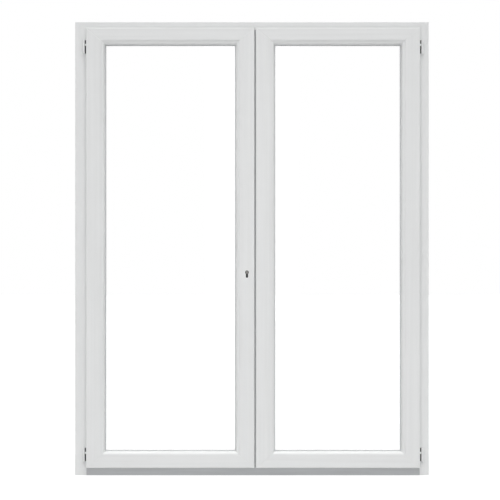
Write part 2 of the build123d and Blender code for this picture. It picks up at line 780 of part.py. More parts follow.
case_depths = (lock_y - case_thick / 2, lock_y + case_thick / 2)
with BuildPart() as lock_case:
    block((case_back, case_front), case_depths, (case_bottom, case_top))
    block((case_back + case_wall, case_front - case_wall),
          (case_depths[0] + case_wall, case_depths[1] - case_wall),
          (case_bottom + case_wall, case_top - case_wall), Mode.SUBTRACT)
    block((case_front - 2 * case_wall, case_front + overrun), bolt_hole_depths, bolt_hole_heights,
          Mode.SUBTRACT)
    block((key_x - euro_r - euro_clearance, key_x + euro_r + euro_clearance),
          (case_depths[0] - case_wall, case_depths[1] + case_wall),
          (key_height + euro_r - euro_height - euro_clearance, key_height + euro_r + euro_clearance),
          Mode.SUBTRACT)
    for end in (case_bottom, case_top):
        flat_bar(rod_x, bolt_clearance, (end - 2 * case_wall, end + 2 * case_wall), Mode.SUBTRACT)
save(lock_case, "lock_case")

cylinder_ends = (leaf_front + euro_recess, leaf_back - euro_recess)
slot_depths = (lock_y - euro_slot / 2, lock_y + euro_slot / 2)
bridge_top = key_height + euro_r - euro_height + euro_bridge
with BuildPart() as cylinder:
    end_plane = Plane(origin=(key_x, cylinder_ends[1], key_height), x_dir=to_right, z_dir=-along_y)
    extrude(euro_profile(end_plane, 0), amount=cylinder_ends[1] - cylinder_ends[0])
    with BuildSketch(end_plane) as bore:
        Circle(plug_r + plug_clearance)
    extrude(bore.sketch, amount=leaf_depth, mode=Mode.SUBTRACT)
    block((key_x - euro_height, key_x + euro_height), slot_depths, (bridge_top, key_height + euro_height),
          Mode.SUBTRACT)
save(cylinder, "lock_cylinder")

for label, ends, mouth in (("inside_plug", (cylinder_ends[0], slot_depths[0] + cam_side_gap), -1),
                           ("outside_plug", (slot_depths[1] - cam_side_gap, cylinder_ends[1]), 1)):
    with BuildPart() as plug:
        plane = Plane(origin=(key_x, ends[1], key_height), x_dir=to_right, z_dir=-along_y)
        with BuildSketch(plane) as disc:
            Circle(plug_r)
        extrude(amount=ends[1] - ends[0])
        slot = (ends[0] - overrun, ends[0] + keyway_depth)
        if mouth > 0:
            slot = (ends[1] - keyway_depth, ends[1] + overrun)
        block((key_x - keyway_width / 2, key_x + keyway_width / 2), slot,
              (key_height - keyway_height / 2, key_height + keyway_height / 2), Mode.SUBTRACT)
    save(plug, label)

cam_depths = (slot_depths[0] + cam_side_gap, slot_depths[1] - 2 * cam_side_gap)
with BuildPart() as cam:
    plane = Plane(origin=(key_x, cam_depths[1], key_height), x_dir=to_right, z_dir=-along_y)
    with BuildSketch(plane) as nose:
        Circle(plug_r + plug_clearance * 2)
        tip = cam_width / 4
        Polygon((-cam_width / 2, 0), (cam_width / 2, 0), (cam_width / 2, cam_nose_r - tip),
                (tip, cam_nose_r), (-tip, cam_nose_r), (-cam_width / 2, cam_nose_r - tip), align=None)
    extrude(amount=cam_depths[1] - cam_depths[0])
save(cam, "lock_cam")

with BuildPart() as deadbolt:
    block((left_meet_edge - bolt_throw - bolt_tail, left_meet_edge), bolt_depths, bolt_heights)
    chamfer(deadbolt.faces().sort_by(Axis.X)[-1].edges(), bolt_bevel)
save(deadbolt, "deadbolt")

for label, ends in (("upper_rod", (case_top - rod_in_case, body_top - rod_rest)),
                    ("lower_rod", (body_bottom + rod_rest, case_bottom + rod_in_case))):
    with BuildPart() as lock_rod:
        flat_bar(rod_x, 0, ends)
        tip = lock_rod.faces().sort_by(Axis.Z)[-1 if label == "upper_rod" else 0]
        chamfer(tip.edges(), rod_tip)
    save(lock_rod, label)

# Meeting post of the right leaf, its end caps, seal, strike plate and flush bolts
post_front = lip_back + post_fit
post_ends = (body_bottom + cap_thick, body_top - cap_thick)
chamber_xs = (right_meet_edge + pvc_wall, post_edge - pvc_wall)
chamber_ys = (post_front + pvc_wall, leaf_back - pvc_wall)
seal_ys = (post_front + centre_seal_inset, post_front + centre_seal_inset + centre_seal_width)
stem_ys = (seal_ys[0] + centre_seal_width / 3, seal_ys[1] - centre_seal_width / 3)
slide_spots = {"upper": (post_ends[1] - flush_bolt_length + slide_from_end, 1),
               "lower": (post_ends[0] + flush_bolt_length - slide_from_end, -1)}
with BuildPart() as post:
    with BuildSketch(Plane.XY.offset(post_ends[0])) as hollow:
        patch((right_meet_edge, post_edge), (post_front, leaf_back))
        soften(hollow, [(right_meet_edge, leaf_back)], outer_round)
        patch(chamber_xs, chamber_ys, Mode.SUBTRACT)
        patch((right_meet_edge, right_meet_edge + centre_seal_stem), stem_ys, Mode.SUBTRACT)
    extrude(amount=post_ends[1] - post_ends[0])
    wall_xs = (right_meet_edge - overrun, chamber_xs[0] + pvc_wall)
    block(wall_xs, bolt_hole_depths, bolt_hole_heights, Mode.SUBTRACT)
    for z, up in slide_spots.values():
        reach = slide_neck / 2 + slide_clearance
        spread = sorted((z - up * reach, z + up * (reach + rod_throw)))
        block(wall_xs, (lock_y - reach, lock_y + reach), spread, Mode.SUBTRACT)
save(post, "meeting_post")

with BuildPart() as caps:
    inner_xs = (chamber_xs[0] + cap_clearance, chamber_xs[1] - cap_clearance)
    inner_ys = (chamber_ys[0] + cap_clearance, chamber_ys[1] - cap_clearance)
    block((right_meet_edge, post_edge), (post_front, leaf_back), (post_ends[1], body_top))
    block(inner_xs, inner_ys, (post_ends[1] - cap_plug, post_ends[1]))
    block((right_meet_edge, post_edge), (post_front, leaf_back), (body_bottom, post_ends[0]))
    block(inner_xs, inner_ys, (post_ends[0], post_ends[0] + cap_plug))
    flat_bar(flush_x, bolt_clearance, (body_bottom - overrun, body_top + overrun), Mode.SUBTRACT)
save(caps, "meeting_post_caps")

with BuildPart() as centre_seal:
    with BuildSketch(Plane.XY.offset(post_ends[0])) as bulb:
        patch((left_meet_edge + centre_seal_clearance, right_meet_edge), seal_ys)
        tip = left_meet_edge + centre_seal_clearance
        soften(bulb, [(tip, seal_ys[0]), (tip, seal_ys[1])], centre_seal_width / 3)
        patch((right_meet_edge, right_meet_edge + centre_seal_stem), stem_ys)
    extrude(amount=post_ends[1] - post_ends[0])
save(centre_seal, "centre_seal")

with BuildPart() as strike:
    depths = (lock_y - strike_width / 2, lock_y + strike_width / 2)
    heights = (bolt_heights[0] - strike_margin, bolt_heights[1] + strike_margin)
    block((right_meet_edge - strike_thick, right_meet_edge), depths, heights)
    chamfer(strike.edges().filter_by(Axis.X), keep_bevel)
    block((right_meet_edge - overrun, right_meet_edge + overrun), bolt_hole_depths, bolt_hole_heights,
          Mode.SUBTRACT)
save(strike, "strike_plate")

for name, (z, up) in slide_spots.items():
    with BuildPart() as flush_bolt:
        end = body_top - rod_rest if up > 0 else body_bottom + rod_rest
        heights = sorted((end, end - up * flush_bolt_length))
        flat_bar(flush_x, 0, heights)
        chamfer(flush_bolt.faces().sort_by(Axis.Z)[-1 if up > 0 else 0].edges(), rod_tip)
        block((right_meet_edge - slide_out, flush_x), (lock_y - slide_neck / 2, lock_y + slide_neck / 2),
              (z - slide_neck / 2, z + slide_neck / 2))
        block((right_meet_edge - slide_out, right_meet_edge - slide_clearance),
              (lock_y - slide_width / 2, lock_y + slide_width / 2),
              (z - slide_height / 2, z + slide_height / 2))
    save(flush_bolt, f"{name}_flush_bolt")
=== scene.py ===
"""Dresses a pair of white PVC french doors: finishes, seals, screws, black hinge packers that paint the shade
in the hinge gaps, drip rail ends and stage.

Everything is in metres. +X is to the right seen from the room, +Y is to the outside and +Z is up.
"""

import math

import bmesh
import bpy
from bpy.props import FloatProperty, IntProperty, PointerProperty, StringProperty
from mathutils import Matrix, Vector


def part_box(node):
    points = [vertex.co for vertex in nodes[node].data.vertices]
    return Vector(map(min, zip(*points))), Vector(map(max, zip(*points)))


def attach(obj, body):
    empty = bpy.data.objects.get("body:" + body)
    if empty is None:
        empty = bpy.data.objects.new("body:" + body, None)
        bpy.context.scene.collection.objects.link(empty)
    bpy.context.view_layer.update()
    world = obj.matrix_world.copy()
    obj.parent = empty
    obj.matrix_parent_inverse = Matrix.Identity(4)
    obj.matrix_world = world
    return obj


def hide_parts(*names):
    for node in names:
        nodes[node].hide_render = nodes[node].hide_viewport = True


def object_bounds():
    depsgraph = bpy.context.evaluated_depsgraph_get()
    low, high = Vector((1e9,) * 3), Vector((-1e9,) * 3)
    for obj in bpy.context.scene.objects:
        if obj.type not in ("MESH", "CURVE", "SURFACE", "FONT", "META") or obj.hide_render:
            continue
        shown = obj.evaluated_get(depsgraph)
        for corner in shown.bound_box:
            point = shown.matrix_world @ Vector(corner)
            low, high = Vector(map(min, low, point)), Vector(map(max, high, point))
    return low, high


bl_info = {
    "name": "French doors",
    "version": (1, 0, 0),
    "blender": (4, 5, 0),
    "location": "View3D > Sidebar > French doors",
    "description": "Finishes and small pieces for a pair of glazed PVC doors in their frame",
    "category": "Object",
}

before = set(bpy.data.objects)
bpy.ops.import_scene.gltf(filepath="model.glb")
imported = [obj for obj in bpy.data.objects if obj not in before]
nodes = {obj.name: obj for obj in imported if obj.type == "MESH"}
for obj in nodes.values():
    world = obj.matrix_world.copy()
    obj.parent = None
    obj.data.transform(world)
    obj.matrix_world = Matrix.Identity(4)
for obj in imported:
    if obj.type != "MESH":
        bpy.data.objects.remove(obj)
cad_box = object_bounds()

MM = 0.001
SIDES = ("left", "right")

# Points nearer than the first are one point, and points nearer than the second are level
MERGE_DISTANCE = 0.001 * MM
LEVEL_DISTANCE = 0.01 * MM
# Edges that turn by more than this stay sharp
SHARP_ANGLE = math.radians(35)
# Faces across the rounded edges of caps and packers, of ring seals and of the centre seal
RIM_FACES = 3
RING_FACES = 4
BULB_FACES = 8
# Cells across a screw head, and how many of them each arm of its cross reaches
SCREW_CELLS = 5
CROSS_REACH = 1.5
# Depths of a screw's cross and skirt as shares of its radius, and of its rim as a share of its crown
CROSS_DEPTH = 0.45
SKIRT_DEPTH = 0.3
RIM_DEPTH = 0.6

# Values that several finishes share
WHITE = (1, 1, 1, 1)
GRAIN_DETAIL = 3
RELIEF_STRENGTH = 0.3

# Stage: metres, and millimetres for the sensor
FLOOR_HALF_WIDTH = 30
FLOOR_CELLS = 4
LAMP_DISTANCE = 5
ROOM_LAMP_PLACE = (0, -1.5, 1.4)
ROOM_LAMP_SIZE = (0.5, 1.6)
SENSOR_WIDTH = 36
SIGHT_LIMIT = 200

# Which pieces take which finish
UPRIGHT_PVC = (
    "frame_jamb_left", "frame_jamb_right", "left_hinge_stile", "left_meeting_stile",
    "right_hinge_stile", "right_meeting_stile", "left_upright_beads", "right_upright_beads",
    "meeting_post", "meeting_post_caps",
)
LEVEL_PVC = (
    "frame_head", "left_top_rail", "left_bottom_rail", "right_top_rail", "right_bottom_rail",
    "left_level_beads", "right_level_beads", "left_drip_rail", "right_drip_rail",
)
ALUMINIUM = ("threshold_inner", "threshold_outer")
GREY_PLASTIC = ("threshold_break", "left_packing_blocks", "right_packing_blocks")
SPACERS = ("left_spacer", "right_spacer")
SEALS = ("frame_seal", "centre_seal", "left_leaf_seal", "right_leaf_seal",
         "left_glazing_gaskets", "right_glazing_gaskets")
PANES = ("left_inner_pane", "left_outer_pane", "right_inner_pane", "right_outer_pane")
STEEL_CORES = ("frame_steels", "left_steels", "right_steels")
HINGES = ("left_frame_knuckles", "right_frame_knuckles", "left_leaf_knuckles", "right_leaf_knuckles")
PLATED = (
    "left_hinge_pins", "right_hinge_pins", "head_keep", "sill_keep", "lock_case", "lock_faceplate",
    "strike_plate", "deadbolt", "upper_rod", "lower_rod", "upper_flush_bolt", "lower_flush_bolt",
)
NICKEL = ("inside_plug", "outside_plug", "lock_cam")
# the cylinder's body is painted dark: painted shade standing in for the shadow of its recess in the leaf
PAINTED_SHADE_NICKEL = ("lock_cylinder",)


class FrenchDoorColours(bpy.types.PropertyGroup):
    """Colours of the finishes, as sRGB hex values."""

    pvc: StringProperty(name="PVC", description="White of the bars", default="#E9EAEA")
    pvc_streak: StringProperty(name="PVC streaks", description="Second white, in streaks along the bars",
                               default="#DFE0E0")
    hinge: StringProperty(name="Hinges", description="Powder coat of the hinges", default="#E6E7E7")
    aluminium: StringProperty(name="Threshold", description="Anodised aluminium of the threshold",
                              default="#C2C4C6")
    seal: StringProperty(name="Seals", description="Grey of the seals and gaskets", default="#DBDDDE")
    plastic: StringProperty(name="Plastic", description="Grey of the thermal break and packing blocks",
                            default="#54565A")
    # painted shade: this black stands in for the shadow in the gap between each hinge barrel and the leaf's
    # edge
    shade_packer: StringProperty(name="Hinge packers", description="Black nylon behind the hinges",
                           default="#252628")
    spacer: StringProperty(name="Spacers", description="Spacer bars in the glass units", default="#A9ABAD")
    steel: StringProperty(name="Plated steel", description="Zinc plate of the lock parts", default="#C4C6C8")
    nickel: StringProperty(name="Nickel", description="Satin nickel of the plugs", default="#918F8C")
    # painted shade: this dark nickel stands in for the shadow in the cylinder's recess
    painted_shade_nickel: StringProperty(name="Dark nickel", description="Burnished nickel of the cylinder's body",
                                default="#333334")
    core: StringProperty(name="Galvanised steel", description="Tubes inside the bars", default="#A5A9AD")
    glass: StringProperty(name="Glass", description="Tint of the panes", default="#FFFFFF")


class FrenchDoorSizes(bpy.types.PropertyGroup):
    """Sizes of the small pieces."""

    gasket_width: FloatProperty(name="Gasket", description="Width of a room-side gasket, from under the bead",
                                default=10 * MM, unit="LENGTH")
    yard_gasket_width: FloatProperty(name="Yard gasket", description="Width of an outside gasket",
                                     default=9 * MM, unit="LENGTH")
    lip_round: FloatProperty(name="Gasket lip", description="Radius of a gasket's lip beside the glass",
                             default=1.3 * MM, unit="LENGTH")
    seal_width: FloatProperty(name="Draught seal", description="Width of a draught seal",
                              default=5.5 * MM, unit="LENGTH")
    bulb_round: FloatProperty(name="Seal bulb", description="Radius of the bulb of a draught seal",
                              default=1.8 * MM, unit="LENGTH")
    centre_round: FloatProperty(name="Centre seal", description="Radius of the centre seal's bulb",
                                default=2.8 * MM, unit="LENGTH")
    tail_gap: FloatProperty(name="Seal tails", description="From a centre seal's end to the frame",
                            default=0.6 * MM, unit="LENGTH")
    screw_head: FloatProperty(name="Screw heads", description="Radius of a screw head",
                              default=3.4 * MM, unit="LENGTH")
    screw_crown: FloatProperty(name="Screw crown", description="How far a screw head stands proud",
                               default=0.3 * MM, unit="LENGTH")
    plate_screws: IntProperty(name="Plate screws", description="Screws along the lock's long plate",
                              default=8, min=2)
    plate_inset: FloatProperty(name="Plate inset", description="From a plate's end to its first screw",
                               default=18 * MM, unit="LENGTH")
    keep_inset: FloatProperty(name="Keep inset", description="From a keep's end to its screw",
                              default=5.5 * MM, unit="LENGTH")
    hinge_height: FloatProperty(name="Hinge height", description="Both knuckles of a hinge together",
                                default=60 * MM, unit="LENGTH")
    packer_thickness: FloatProperty(name="Packers", description="Thickness of a hinge packer",
                                    default=1.6 * MM, unit="LENGTH")
    packer_gap: FloatProperty(name="Packer gap", description="From a packer to the leaf's edge",
                              default=0.4 * MM, unit="LENGTH")
    cap_thickness: FloatProperty(name="Drip cap", description="Thickness of a drip rail's end cap",
                                 default=2 * MM, unit="LENGTH")
    cap_top: FloatProperty(name="Cap top", description="Depth of a drip rail's level top",
                           default=5 * MM, unit="LENGTH")
    cap_lip: FloatProperty(name="Cap lip", description="Height of a drip rail's front lip",
                           default=9 * MM, unit="LENGTH")
    cap_round: FloatProperty(name="Cap edges", description="Radius of the edges of caps and packers",
                             default=0.6 * MM, unit="LENGTH")


class FrenchDoorStage(bpy.types.PropertyGroup):
    """Camera, lamps and background."""

    lens: FloatProperty(name="Lens", description="Focal length", default=120, unit="CAMERA")
    view_width: FloatProperty(name="View width", description="Width seen at the frame's face",
                              default=2.2625, unit="LENGTH")
    eye_x: FloatProperty(name="Eye across", description="Camera's place across the doors",
                         default=-0.0088, unit="LENGTH")
    eye_height: FloatProperty(name="Eye height", description="Camera's height", default=1.019, unit="LENGTH")
    room_lamp: FloatProperty(name="Room lamp", description="Power of the soft lamp before the leaves",
                             default=1.2, unit="POWER")
    room_sun: FloatProperty(name="Room sun", description="Strength of the wide light above the viewer",
                            default=2.05)
    room_sun_height: FloatProperty(name="Room sun height", description="Angle of that light above the floor",
                                   default=math.radians(65), subtype="ANGLE")
    yard_sun: FloatProperty(name="Yard sun", description="Strength of the wide light on the outside",
                            default=0.7)
    yard_sun_height: FloatProperty(name="Yard sun height", description="Angle of that light above the floor",
                                   default=math.radians(45), subtype="ANGLE")
    sun_spread: FloatProperty(name="Sun spread", description="Width of both wide lights as seen",
                              default=math.radians(50), subtype="ANGLE")
    floor: StringProperty(name="Floor", description="Colour of the floor", default="#E8E8E8")
    floor_glow: FloatProperty(name="Floor glow", description="How far the floor is lifted towards white",
                              default=0.25)
    ambient: FloatProperty(name="Ambient", description="Level of the light from all round", default=0.335)


def linear(code):
    """An sRGB hex value as a linear colour with alpha."""
    parts = [int(code[i:i + 2], 16) / 255 for i in (1, 3, 5)]
    return tuple(p / 12.92 if p <= 0.04045 else ((p + 0.055) / 1.055) ** 2.4 for p in parts) + (1,)


def add(tree, kind, inputs=None, **settings):
    """Adds a node with its settings, and sets or links its inputs."""
    node = tree.nodes.new(kind)
    for name, value in settings.items():
        setattr(node, name, value)
    for name, value in (inputs or {}).items():
        if isinstance(value, bpy.types.NodeSocket):
            tree.links.new(value, node.inputs[name])
        else:
            node.inputs[name].default_value = value
    return node


def start_finish(name):
    """A new empty material, and the place of each point on the piece."""
    material = bpy.data.materials.new(name)
    material.use_nodes = True
    tree = material.node_tree
    tree.nodes.clear()
    return material, tree, add(tree, "ShaderNodeTexCoord").outputs["Object"]


def darker(code, share):
    """A hex value made darker by a share."""
    return "#" + "".join(f"{round(int(code[i:i + 2], 16) * (1 - share)):02X}" for i in (1, 3, 5))


def grained(name, tones, patch, grain, gloss, relief, **shader):
    """A finish with patches of two tones, under a grain that moves its gloss and raises it.

    The sizes of the patches and of the grain are in millimetres along X, Y and Z, and so is the relief.
    """
    material, tree, place = start_finish(name)
    spread = add(tree, "ShaderNodeMapping", {"Vector": place, "Scale": [1 / (MM * size) for size in patch]})
    patches = add(tree, "ShaderNodeTexNoise", {"Vector": spread.outputs["Vector"], "Scale": 1,
                                              "Detail": GRAIN_DETAIL})
    tint = add(tree, "ShaderNodeMixRGB", {"Fac": patches.outputs["Fac"], "Color1": linear(tones[0]),
                                          "Color2": linear(tones[1])})
    fine = add(tree, "ShaderNodeMapping", {"Vector": place, "Scale": [1 / (MM * size) for size in grain]})
    grains = add(tree, "ShaderNodeTexNoise", {"Vector": fine.outputs["Vector"], "Scale": 1,
                                              "Detail": GRAIN_DETAIL})
    rough = add(tree, "ShaderNodeMapRange", {"Value": grains.outputs["Fac"], "To Min": gloss[0],
                                             "To Max": gloss[1]})
    bump = add(tree, "ShaderNodeBump", {"Height": grains.outputs["Fac"], "Strength": RELIEF_STRENGTH,
                                        "Distance": relief * MM})
    body = add(tree, "ShaderNodeBsdfPrincipled", {"Base Color": tint.outputs["Color"],
                                                  "Roughness": rough.outputs["Result"],
                                                  "Normal": bump.outputs["Normal"], **shader})
    add(tree, "ShaderNodeOutputMaterial", {"Surface": body.outputs["BSDF"]})
    return material


def extruded_pvc(name, colours, along):
    """Rigid PVC from an extruder: satin white, with pale streaks and fine die lines along the bar."""
    # die lines are about 0.3 mm apart, and are drawn 4 mm apart so that they show
    streaks = [700 if axis == along else 14 for axis in "XYZ"]
    lines = [900 if axis == along else 4 for axis in "XYZ"]
    return grained(name, (colours.pvc, colours.pvc_streak), patch=streaks, grain=lines, gloss=(0.3, 0.4),
                   relief=0.04, **{"IOR": 1.53, "Specular IOR Level": 0.4})


def powder_coat(colours):
    """Powder coat baked on cast zinc: an even white with orange peel, 1 mm across and drawn as 2 mm."""
    return grained("white_powder_coat", (colours.hinge, darker(colours.hinge, 0.03)), patch=[8] * 3,
                   grain=[2] * 3, gloss=(0.36, 0.46), relief=0.03, IOR=1.5)


def anodised_aluminium(colours):
    """Extruded aluminium, anodised: matt grey metal with press lines along the bar, drawn 3 mm apart."""
    return grained("anodised_aluminium", (colours.aluminium, darker(colours.aluminium, 0.1)),
                   patch=(250, 9, 9), grain=(400, 3, 3), gloss=(0.42, 0.56), relief=0.04, Metallic=0.35)


def zinc_plate(colours):
    """Zinc plate on drawn steel: bright and a little cloudy, with drawing lines up the bars, 2 mm apart."""
    return grained("zinc_plated_steel", (colours.steel, darker(colours.steel, 0.16)), patch=(30, 30, 90),
                   grain=(2, 2, 200), gloss=(0.24, 0.38), relief=0.02, Metallic=1)


def satin_nickel(name, tone):
    """Nickel brushed along the cylinder: a soft shine with a fine grain, drawn 1.5 mm wide."""
    return grained(name, (tone, darker(tone, 0.14)), patch=[6] * 3, grain=(1.5, 20, 1.5), gloss=(0.3, 0.42),
                   relief=0.02, Metallic=1)


def rubber_seal(colours):
    """Extruded rubber: matt grey with a soft skin, whose ripples are drawn 2 mm across."""
    return grained("grey_rubber_seal", (colours.seal, darker(colours.seal, 0.08)), patch=[25] * 3,
                   grain=[2] * 3, gloss=(0.55, 0.7), relief=0.05, **{"IOR": 1.5, "Specular IOR Level": 0.35})


def filled_nylon(name, tone):
    """Nylon filled with glass fibre: matt, with a faint fibre grain along the bar, drawn 1.5 mm wide."""
    return grained(name, (tone, darker(tone, 0.16)), patch=(30, 6, 6), grain=(30, 1.5, 1.5),
                   gloss=(0.5, 0.65), relief=0.03, IOR=1.53)


def galvanised_steel(colours):
    """Steel dipped in zinc: flat spangles about 12 mm across, each with its own shade and gloss."""
    spangle = 12 * MM
    material, tree, place = start_finish("galvanised_steel")
    spangles = add(tree, "ShaderNodeTexVoronoi", {"Vector": place, "Scale": 1 / spangle})
    tone = add(tree, "ShaderNodeSeparateColor", {"Color": spangles.outputs["Color"]}).outputs["Red"]
    tint = add(tree, "ShaderNodeMixRGB", {"Fac": tone, "Color1": linear(colours.core),
                                          "Color2": linear(darker(colours.core, 0.2))})
    rough = add(tree, "ShaderNodeMapRange", {"Value": tone, "To Min": 0.35, "To Max": 0.55})
    body = add(tree, "ShaderNodeBsdfPrincipled", {"Base Color": tint.outputs["Color"], "Metallic": 1,
                                                  "Roughness": rough.outputs["Result"]})
    add(tree, "ShaderNodeOutputMaterial", {"Surface": body.outputs["BSDF"]})
    return material


def spacer_bar(colours):
    """Rolled metal with a matt coat, pierced by rows of breathing holes, drawn 4 mm apart, their dark being
    painted shade.
    """
    pitch = 4 * MM
    # radius of a hole and of its soft rim, as shares of the pitch
    hole, rim = 0.12, 0.2
    material, tree, place = start_finish("matt_spacer_bar")
    rows = add(tree, "ShaderNodeTexVoronoi", {"Vector": place, "Scale": 1 / pitch, "Randomness": 0})
    solid = add(tree, "ShaderNodeMapRange", {"Value": rows.outputs["Distance"], "From Min": hole,
                                             "From Max": rim}).outputs["Result"]
    # the holes are half as bright as the metal: painted shade inside them
    tint = add(tree, "ShaderNodeMixRGB", {"Fac": solid, "Color1": linear(darker(colours.spacer, 0.5)),
                                          "Color2": linear(colours.spacer)})
    rough = add(tree, "ShaderNodeMapRange", {"Value": solid, "To Min": 0.7, "To Max": 0.45})
    bump = add(tree, "ShaderNodeBump", {"Height": solid, "Strength": RELIEF_STRENGTH, "Distance": 0.1 * MM})
    body = add(tree, "ShaderNodeBsdfPrincipled", {"Base Color": tint.outputs["Color"], "Metallic": 0.6,
                                                  "Roughness": rough.outputs["Result"],
                                                  "Normal": bump.outputs["Normal"]})
    add(tree, "ShaderNodeOutputMaterial", {"Surface": body.outputs["BSDF"]})
    return material


def float_glass(colours):
    """Float glass: clear and smooth, with a very slow wave from the rollers, 300 mm long."""
    wave_length = 300 * MM
    material, tree, place = start_finish("clear_float_glass")
    wave = add(tree, "ShaderNodeTexNoise", {"Vector": place, "Scale": 1 / wave_length, "Detail": 0})
    rough = add(tree, "ShaderNodeMapRange", {"Value": wave.outputs["Fac"], "To Min": 0, "To Max": 0.004})
    bump = add(tree, "ShaderNodeBump", {"Height": wave.outputs["Fac"], "Strength": 0.05,
                                        "Distance": 0.02 * MM})
    body = add(tree, "ShaderNodeBsdfPrincipled", {"Base Color": linear(colours.glass), "IOR": 1.52,
                                                  "Transmission Weight": 1,
                                                  "Roughness": rough.outputs["Result"],
                                                  "Normal": bump.outputs["Normal"]})
    add(tree, "ShaderNodeOutputMaterial", {"Surface": body.outputs["BSDF"]})
    return material


# Materials by a short name, filled by the first operator
FINISHES = {}


class FRENCHDOORS_OT_finishes(bpy.types.Operator):
    """Gives every piece of the frame and the leaves its finish"""

    bl_idname = "french_doors.finishes"
    bl_label = "Finishes"

    def execute(self, context):
        colours = context.scene.french_door_colours
        FINISHES.update({
            "pvc_upright": extruded_pvc("extruded_pvc_upright", colours, "Z"),
            "pvc_level": extruded_pvc("extruded_pvc_level", colours, "X"),
            "hinge": powder_coat(colours),
            "aluminium": anodised_aluminium(colours),
            "steel": zinc_plate(colours),
            "nickel": satin_nickel("satin_nickel", colours.nickel),
            # the cylinder's dark nickel is painted shade for its recess
            "painted_shade_nickel": satin_nickel("burnished_nickel_painted_shade", colours.painted_shade_nickel),
            "core": galvanised_steel(colours),
            "seal": rubber_seal(colours),
            "plastic": filled_nylon("grey_nylon", colours.plastic),
            # the black nylon of the hinge packers is painted shade in the hinge gaps
            "shade_packer": filled_nylon("black_nylon_painted_shade", colours.shade_packer),
            "spacer": spacer_bar(colours),
            "glass": float_glass(colours),
        })
        groups = ((UPRIGHT_PVC, "pvc_upright"), (LEVEL_PVC, "pvc_level"), (ALUMINIUM, "aluminium"),
                  (GREY_PLASTIC, "plastic"), (SPACERS, "spacer"), (SEALS, "seal"), (PANES, "glass"),
                  (STEEL_CORES, "core"), (HINGES, "hinge"), (PLATED, "steel"), (NICKEL, "nickel"),
                  (PAINTED_SHADE_NICKEL, "painted_shade_nickel"))
        left_over = set(nodes)
        for names, finish in groups:
            for name in names:
                nodes[name].data.materials.clear()
                nodes[name].data.materials.append(FINISHES[finish])
                left_over.discard(name)
        if left_over:
            raise RuntimeError(f"no finish for {sorted(left_over)}")
        # light passes a clear pane, so a pane throws no shadow
        for name in PANES:
            nodes[name].visible_shadow = False
        return {"FINISHED"}


def finish_piece(bm, name, body, finish, replaced=()):
    """Makes a mesh a piece that rides on a body, in one finish."""
    bmesh.ops.remove_doubles(bm, verts=bm.verts, dist=MERGE_DISTANCE)
    bmesh.ops.recalc_face_normals(bm, faces=bm.faces)
    mesh = bpy.data.meshes.new(name)
    bm.to_mesh(mesh)
    bm.free()
    mesh.materials.append(FINISHES[finish])
    mesh.shade_smooth()
    mesh.set_sharp_from_angle(angle=SHARP_ANGLE)
    piece = bpy.data.objects.new(name, mesh)
    bpy.context.scene.collection.objects.link(piece)
    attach(piece, body)
    if replaced:
        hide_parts(*replaced)


def corners(grown):
    """The corners in what an extrusion made."""
    return [g for g in grown["geom"] if isinstance(g, bmesh.types.BMVert)]


def push_out(bm, faces, way):
    """Extrudes flat faces into a closed solid and returns its far corners."""
    far = corners(bmesh.ops.extrude_face_region(bm, geom=faces))
    bmesh.ops.translate(bm, verts=far, vec=way)
    return far


def flat_face(bm, points):
    """A new face with its corners at the points."""
    return bm.faces.new([bm.verts.new(p) for p in points])


def round_edges(bm, edges, radius, segments):
    """Rounds edges with a number of faces across each."""
    bmesh.ops.bevel(bm, geom=edges, offset=radius, offset_type="OFFSET", segments=segments, profile=0.5,
                    affect="EDGES", material=-1)


def round_rim(bm, far, radius):
    """Rounds the rim of the face that the corners given stand round."""
    rim = {e for v in far for e in v.link_edges if all(u in far for u in e.verts)}
    round_edges(bm, list(rim), radius, RIM_FACES)


def add_ring(bm, xs, zs, width, ys, round_y, radius, outer=True):
    """A rubber ring round a rectangle. At depth round_y its inner edges, and the outer ones, are rounded."""
    old = set(bm.verts)
    face = flat_face(bm, [(x, ys[0], z) for x, z in
                          ((xs[0], zs[0]), (xs[1], zs[0]), (xs[1], zs[1]), (xs[0], zs[1]))])
    # the inset follows the face's normal, which a new face doesn't have yet
    face.normal_update()
    ring = bmesh.ops.inset_region(bm, faces=[face], thickness=width, use_boundary=True,
                                  use_even_offset=True)["faces"]
    bmesh.ops.delete(bm, geom=[face], context="FACES_ONLY")
    push_out(bm, ring, (0, ys[1] - ys[0], 0))
    mid_x, mid_z = (xs[0] + xs[1]) / 2, (zs[0] + zs[1]) / 2
    half_x, half_z = (xs[1] - xs[0]) / 2 - width / 2, (zs[1] - zs[0]) / 2 - width / 2

    def on_inner(vert):
        return abs(vert.co.x - mid_x) < half_x and abs(vert.co.z - mid_z) < half_z

    chosen = []
    for edge in bm.edges:
        if any(v in old or abs(v.co.y - round_y) > LEVEL_DISTANCE for v in edge.verts):
            continue
        inside = [on_inner(v) for v in edge.verts]
        if all(inside) or (outer and not any(inside)):
            chosen.append(edge)
    round_edges(bm, chosen, radius, RING_FACES)


def cut_open(bm, point, normal):
    """Cuts a mesh off at a plane and closes the ends."""
    cut = bmesh.ops.bisect_plane(bm, geom=bm.verts[:] + bm.edges[:] + bm.faces[:], plane_co=point,
                                 plane_no=normal, clear_outer=True)["geom_cut"]
    bmesh.ops.holes_fill(bm, edges=[g for g in cut if isinstance(g, bmesh.types.BMEdge)], sides=0)


